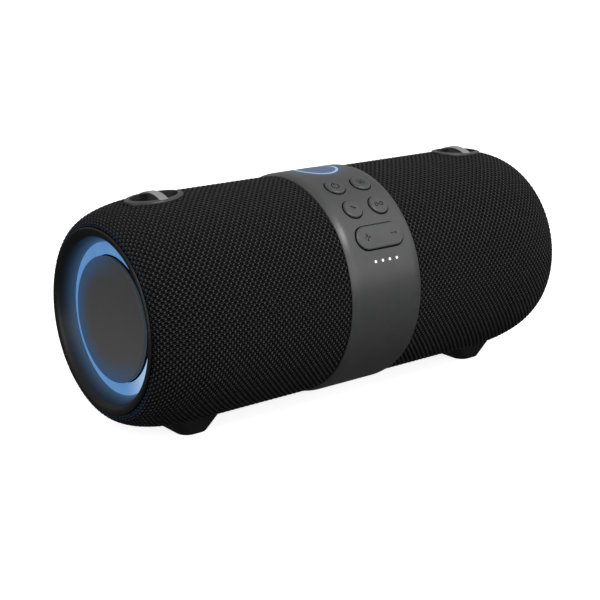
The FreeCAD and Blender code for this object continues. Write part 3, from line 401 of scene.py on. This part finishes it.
def rubber_material(name, dark=0.005, light=0.010, rough=(0.36, 0.5)):
    """Matt black rubber."""
    return grained(name, grey(dark), grey(light), 0.5, 0.015, rough, Specular_IOR_Level=0.35)


def bezel_material():
    """Black rubber with the light ring's blue light painted on the funnel as a glow."""
    made = rubber_material("bezel_rubber")
    # Painted light: the ring's blue light on the funnel, drawn as a glow that fades away from the
    # ring
    near = -made.radius().clamped(RING_OUTER - 1.0 * MM, RING_OUTER + BEZEL_REACH) + 1.0
    made.glow(made.mix(near * near, BLACK, (0.10, 0.24, 0.48)), BEZEL_PAINTED_SPILL)
    return made.material


def ring_material():
    """Milky diffuser lit from behind by a ring of blue lamps, paler towards the front."""
    made = Material("lit_diffuser", Roughness=0.35)
    _, y, z = made.position()
    angle = z.math("ARCTAN2", y)
    lamps = (angle * RING_LAMPS).math("COSINE")
    cloud = made.noise(6.0, 3.0)
    brightness = (lamps * 0.06 + cloud * 0.5 + 0.2).clamped(0.0, 1.0)
    colour = made.mix(brightness, (0.08, 0.23, 0.52), (0.13, 0.31, 0.63))
    front = (-y).clamped(7.0 * MM, 28.0 * MM)
    colour = made.mix(front * 0.75, colour, (0.52, 0.70, 0.92))
    made.colour(made.mix(cloud, (0.05, 0.08, 0.12), (0.08, 0.11, 0.15)))
    made.glow(colour, DIFFUSER_GLOW)
    made.bump(made.noise(0.6, 2.0), 0.02)
    return made.material


def disc_material():
    """Dark grey plastic with a fine matt grain, with light painted paler lower down.

    The ring's light is painted on it near its rim as a blue glow over a darker colour, most of all
    at the back and at the bottom.
    """
    made = Material("disc_plastic", Specular_IOR_Level=0.4)
    _, y, z = made.position()
    grain = made.noise(0.5, 2.0)
    # Painted light: the ring's spilled light near the rim, drawn as a darker blue colour with a
    # blue glow
    near = made.radius().clamped(DISC_RADIUS - DISC_REACH, DISC_RADIUS + 1.0 * MM)
    away = (y * 0.94 - z * 0.34).clamped(-22.0 * MM, 8.0 * MM)
    tone_and_spill = near * away
    body = made.mix(grain.clamped(0.3, 0.7), grey(0.075), grey(0.12))
    # Painted light: the disc is coloured paler lower down
    lower = made.mix((-z).clamped(-24.0 * MM, 30.0 * MM) * 0.25, body, grey(0.24))
    made.colour(made.mix(tone_and_spill * 0.85, lower, (0.02, 0.03, 0.05)))
    made.glow(made.mix(tone_and_spill, BLACK, RING_BLUE), DISC_PAINTED_SPILL)
    made.roughness(grain, 0.5, 0.65)
    made.bump(grain, 0.05)
    return made.material


def metal_material(name, tone, rough=(0.12, 0.3)):
    """Bare metal with faint streaks."""
    made = Material(name, Metallic=1.0)
    streaks = made.noise(1.2, 4.0, 0.6, (1.0, 0.08, 1.0))
    darker = tuple(0.82 * channel for channel in tone)
    made.colour(made.mix(streaks, darker, tone))
    made.roughness(streaks, *rough)
    made.bump(streaks, 0.01)
    return made.material


def lit_material(name, colour, strength):
    """Small lamp window."""
    made = Material(name, Roughness=0.2)
    cloud = made.noise(1.5, 2.0)
    dimmer = tuple(0.8 * channel for channel in colour)
    made.colour(made.mix(cloud, grey(0.08), grey(0.12)))
    made.glow(made.mix(cloud, dimmer, colour), strength)
    made.bump(cloud, 0.01)
    return made.material


def board_material():
    """Green solder mask with copper tracks."""
    made = Material("solder_mask", Roughness=0.3)
    tracks = made.tree.nodes.new("ShaderNodeTexBrick")
    tracks.inputs["Scale"].default_value = 400.0
    tracks.inputs["Mortar Size"].default_value = 0.03
    made.tree.links.new(made.coordinates, tracks.inputs["Vector"])
    lines = made.field(tracks.outputs["Fac"])
    cloud = made.noise(4.0)
    green = made.mix(cloud, (0.006, 0.075, 0.030), (0.010, 0.110, 0.045))
    made.colour(made.mix(lines * 0.6, green, (0.08, 0.20, 0.07)))
    made.roughness(cloud, 0.25, 0.4)
    made.bump(lines, 0.03)
    return made.material


def assign(nodes, material):
    """Give CAD nodes one material."""
    for name in nodes:
        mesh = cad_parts[name].data
        mesh.materials.clear()
        mesh.materials.append(material)


def both(*names):
    """The left and the right node of each name."""
    return [side + "_" + name for side in SIDES for name in names]


def dress_frame():
    """Give every CAD node its material."""
    assign(["centre_band", "port_door"], band_material("band_plastic"))
    keys = ["power_button", "light_button", "play_button", "pairing_button", "volume_rocker"]
    assign(keys, band_material("key_plastic", 1.05, (0.28, 0.36)))
    assign(both("end_bezel"), bezel_material())
    assign(both("foot"), rubber_material("foot_rubber", 0.004, 0.007, (0.5, 0.65)).material)
    assign(both("light_diffuser"), ring_material())
    assign(both("radiator_disc"), disc_material())
    cup = grained("cup_plastic", grey(0.030), grey(0.045), 0.4, 0.01, rough=(0.25, 0.38))
    assign(both("strap_cup"), cup.material)
    assign(both("strap_bar"), metal_material("polished_bar", (0.80, 0.80, 0.81)))
    assign(["top_ring_lens"], lit_material("lit_ring_lens", (0.25, 0.46, 0.80), 1.0))
    assign(["charge_lamps"], lit_material("white_lamp", (1.0, 1.0, 1.0), 1.6))
    shell = grained("moulded_black", grey(0.014), grey(0.024), 0.6, 0.02)
    moulded = ["key_carrier", "battery_holder", "port_housing", "aux_socket"]
    moulded += ["enclosure_front", "enclosure_rear"]
    assign(both("grille_shell", "radiator_frame") + moulded, shell.material)
    rubber_parts = both("radiator_surround", "driver_surround") + ["enclosure_gasket"]
    assign(rubber_parts, rubber_material("soft_rubber").material)
    steel = metal_material("plain_steel", (0.55, 0.55, 0.56), (0.25, 0.45))
    metal = ["volume_rocker_pin", "port_door_pin", "case_screws", "frame_screws"]
    metal += ["usb_c_socket", "usb_a_socket"]
    assign(both("radiator_weight", "driver_basket") + metal, steel)
    ferrite = grained("ferrite", grey(0.03), grey(0.05), 0.9, 0.04)
    assign(both("driver_magnet"), ferrite.material)
    paper = grained("coated_paper", grey(0.02), grey(0.04), 1.4, 0.06)
    assign(both("driver_cone"), paper.material)
    assign(both("light_board") + ["key_board", "main_board", "port_board"], board_material())
    chip = grained("moulded_component", grey(0.012), grey(0.020), 0.5, 0.01)
    assign(["board_components", "key_switches"], chip.material)
    wrap = grained("battery_wrap", (0.02, 0.08, 0.25), (0.03, 0.11, 0.32), 3.0, 0.02)
    assign(["battery_cells"], wrap.material)


# ---------------------------------------------------------------- fabric

def sleeve_outline():
    """Points (x, radius) along the sleeve, closely spaced, from the band to the end ring.

    The cloth rolls out from its edge beside the band, runs straight, goes round the shoulder and
    rolls in against the rubber ring.
    """
    quarter = math.pi / 2
    points = [(FABRIC_START, FABRIC_RADIUS - BAND_TUCK)]
    for angle in np.linspace(0, quarter, 16):
        x = FABRIC_START + BAND_ROLL * (1 - math.cos(angle))
        points.append((x, FABRIC_RADIUS - BAND_ROLL * (1 - math.sin(angle))))
    shoulder_length = FABRIC_END - SHOULDER_START
    shoulder_drop = FABRIC_RADIUS - SHOULDER_END_RADIUS
    last = math.acos(END_ROLL / shoulder_drop)
    for angle in np.linspace(0, last, 120):
        x = SHOULDER_START + shoulder_length * math.sin(angle)
        points.append((x, SHOULDER_END_RADIUS + shoulder_drop * math.cos(angle)))
    roll_x = points[-1][0] - END_ROLL
    for angle in np.linspace(0, quarter, 12)[1:]:
        radius = SHOULDER_END_RADIUS + END_ROLL * (1 - math.sin(angle))
        points.append((roll_x + END_ROLL * math.cos(angle), radius))
    points.append((roll_x - END_TUCK, SHOULDER_END_RADIUS))
    return np.array(points)


def spaced_outline():
    """The sleeve's outline with one point per weave sample: places, outward normals, lengths."""
    line = sleeve_outline()
    steps = np.linalg.norm(np.diff(line, axis=0), axis=1)
    along = np.concatenate([[0], np.cumsum(steps)])
    count = round(along[-1] / (STITCH_PITCH / SAMPLES_PER_STITCH))
    lengths = np.linspace(0, along[-1], count + 1)
    places = np.stack([np.interp(lengths, along, line[:, axis]) for axis in (0, 1)], axis=1)
    direction = np.gradient(places, axis=0)
    direction /= np.linalg.norm(direction, axis=1)[:, None]
    normals = np.stack([-direction[:, 1], direction[:, 0]], axis=1)
    return places, normals, lengths


def under_strap_cup(points, side):
    """Points of the cloth that lie under the rim of a strap cup."""
    centre = side * (CUP_LOW.x + CUP_HIGH.x) / 2
    half_x = (CUP_HIGH.x - CUP_LOW.x) / 2 - CUP_COVER
    half_y = (CUP_HIGH.y - CUP_LOW.y) / 2 - CUP_COVER
    reach = ((points[:, 0] - centre) / half_x) ** 2 + (points[:, 1] / half_y) ** 2
    return (reach < 1) & (points[:, 2] > AXIS_Z)


def inside_foot(points, side):
    """Points of the cloth that a foot covers. The foot flares from the ground to its top."""
    centre = side * (FOOT_LOW.x + FOOT_HIGH.x) / 2
    rise = points[:, 2] / FOOT_RISE
    half_x = FOOT_HALF[0] + FOOT_FLARE[0] * rise - FOOT_COVER
    half_y = FOOT_HALF[1] + FOOT_FLARE[1] * rise - FOOT_COVER
    covered = (abs(points[:, 0] - centre) < half_x) & (abs(points[:, 1]) < half_y)
    return covered & (rise < 1)


def woven_surface(side):
    """Points of the cloth in rows from the band to the end, and stitches along and round it."""
    places, normals, lengths = spaced_outline()
    u = side * lengths / STITCH_PITCH
    v = np.arange(SAMPLES_ROUND + 1) / SAMPLES_PER_STITCH
    height = weave_height(u[:, None], v[None, :-1]) - WEAVE_TOP
    fade = np.minimum(lengths, lengths[-1] - lengths) / WEAVE_FADE
    relief = np.minimum(height, 0) * WEAVE_DEPTH * np.clip(fade, 0, 1)[:, None]
    x = side * (places[:, :1] + normals[:, :1] * relief)
    radius = places[:, 1:] + normals[:, 1:] * relief
    angle = 2 * math.pi * v[None, :-1] / STITCHES_ROUND
    y = -radius * np.sin(angle)
    z = AXIS_Z + radius * np.cos(angle)
    return np.stack([x, y, z], axis=2).reshape(-1, 3), u, v, lengths[-1]


def woven_faces(side, u, v):
    """Four-sided faces between the cloth's points, and the stitch place of each corner."""
    row, column = np.meshgrid(np.arange(len(u) - 1), np.arange(SAMPLES_ROUND), indexing="ij")
    row, column = row.ravel(), column.ravel()
    corners = [(row, column), (row + 1, column), (row + 1, column + 1), (row, column + 1)]
    if side > 0:
        corners.reverse()
    faces = np.stack([r * SAMPLES_ROUND + c % SAMPLES_ROUND for r, c in corners], axis=1)
    stitches = np.stack([np.stack([u[r], v[c]], axis=1) for r, c in corners], axis=1)
    return faces, stitches


def build_sleeve(side_name, material):
    """Woven cover of one half, with every stitch in its surface."""
    side = SIDES[side_name]
    points, u, v, length = woven_surface(side)
    faces, stitches = woven_faces(side, u, v)
    hidden = under_strap_cup(points, side) | inside_foot(points, side)
    kept = ~hidden[faces].all(axis=1)
    faces, stitches = faces[kept], stitches[kept]
    used, faces = np.unique(faces, return_inverse=True)
    faces = faces.reshape(-1, 4)

    mesh = bpy.data.meshes.new(side_name + "_woven_sleeve")
    mesh.from_pydata(points[used].tolist(), [], faces.tolist())
    mesh.uv_layers.new(name="stitches").data.foreach_set("uv", stitches.astype(np.float32).ravel())
    mesh.shade_smooth()
    mesh.materials.append(material)
    sleeve = bpy.data.objects.new(side_name + "_woven_sleeve", mesh)
    bpy.context.scene.collection.objects.link(sleeve)
    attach(sleeve, "housing")
    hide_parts(side_name + "_fabric_sleeve")


# ---------------------------------------------------------------- studio

def build_floor():
    """Pale floor that the speaker stands on. It sends no light back to the speaker."""
    mesh = bpy.data.meshes.new("studio_floor")
    signs = [(-1, -1), (1, -1), (1, 1), (-1, 1)]
    corners = [(x * FLOOR_REACH, y * FLOOR_REACH, 0) for x, y in signs]
    mesh.from_pydata(corners, [], [(0, 1, 2, 3)])
    floor = bpy.data.objects.new("studio_floor", mesh)
    bpy.context.scene.collection.objects.link(floor)
    made = Material("pale_paper", Roughness=0.9, Specular_IOR_Level=0.1)
    paper = made.mix(made.noise(60.0), (0.90, 0.90, 0.90), (0.93, 0.93, 0.93))
    made.colour(paper)
    made.glow(paper, FLOOR_GLOW)
    mesh.materials.append(made.material)
    floor.visible_diffuse = False
    floor.visible_glossy = False


def build_light(name, place, size, power):
    """Soft rectangular light that faces the middle of the drum."""
    light = bpy.data.lights.new(name, "AREA")
    light.shape = "RECTANGLE"
    light.size, light.size_y = size
    light.energy = power
    lamp = bpy.data.objects.new(name, light)
    lamp.location = place
    aim = DRUM_MIDDLE - Vector(place)
    lamp.rotation_euler = aim.to_track_quat("-Z", "Y").to_euler()
    bpy.context.scene.collection.objects.link(lamp)


def build_world():
    """Pale light from above the horizon, brightest in front, and little from below."""
    world = bpy.data.worlds.new("studio")
    world.use_nodes = True
    tree = world.node_tree
    direction = tree.nodes.new("ShaderNodeTexCoord").outputs["Generated"]
    split = tree.nodes.new("ShaderNodeSeparateXYZ")
    tree.links.new(direction, split.inputs[0])
    above = Field(tree, split.outputs[2]).clamped(-0.05, 0.15)
    front = (-Field(tree, split.outputs[1])).clamped(-0.6, 0.5)
    strength = above * (front * WORLD_FRONT + WORLD_ABOVE) + WORLD_BELOW
    background = tree.nodes["Background"]
    background.inputs["Color"].default_value = (1.0, 1.0, 1.0, 1.0)
    tree.links.new(strength.socket, background.inputs["Strength"])
    bpy.context.scene.world = world


def build_camera():
    """Camera at the front left, a little above the drum."""
    azimuth = math.radians(CAMERA_AZIMUTH)
    elevation = math.radians(CAMERA_ELEVATION)
    level = math.cos(elevation)
    back = Vector((math.sin(azimuth) * level, -math.cos(azimuth) * level, math.sin(elevation)))
    data = bpy.data.cameras.new("camera")
    data.sensor_width = 36.0
    data.lens = CAMERA_LENS
    data.shift_x, data.shift_y = CAMERA_SHIFT
    data.clip_start, data.clip_end = 0.02, 100.0
    camera = bpy.data.objects.new("camera", data)
    camera.location = DRUM_MIDDLE + back * CAMERA_DISTANCE
    camera.rotation_euler = (-back).to_track_quat("-Z", "Y").to_euler()
    bpy.context.scene.collection.objects.link(camera)
    bpy.context.scene.camera = camera


dress_frame()
cloth = fabric_material()
for half in SIDES:
    build_sleeve(half, cloth)
build_floor()
build_world()
for light_name, (place, size, power) in LIGHTS.items():
    build_light(light_name, place, size, power)
build_camera()
bpy.context.scene.view_settings.view_transform = "Standard"
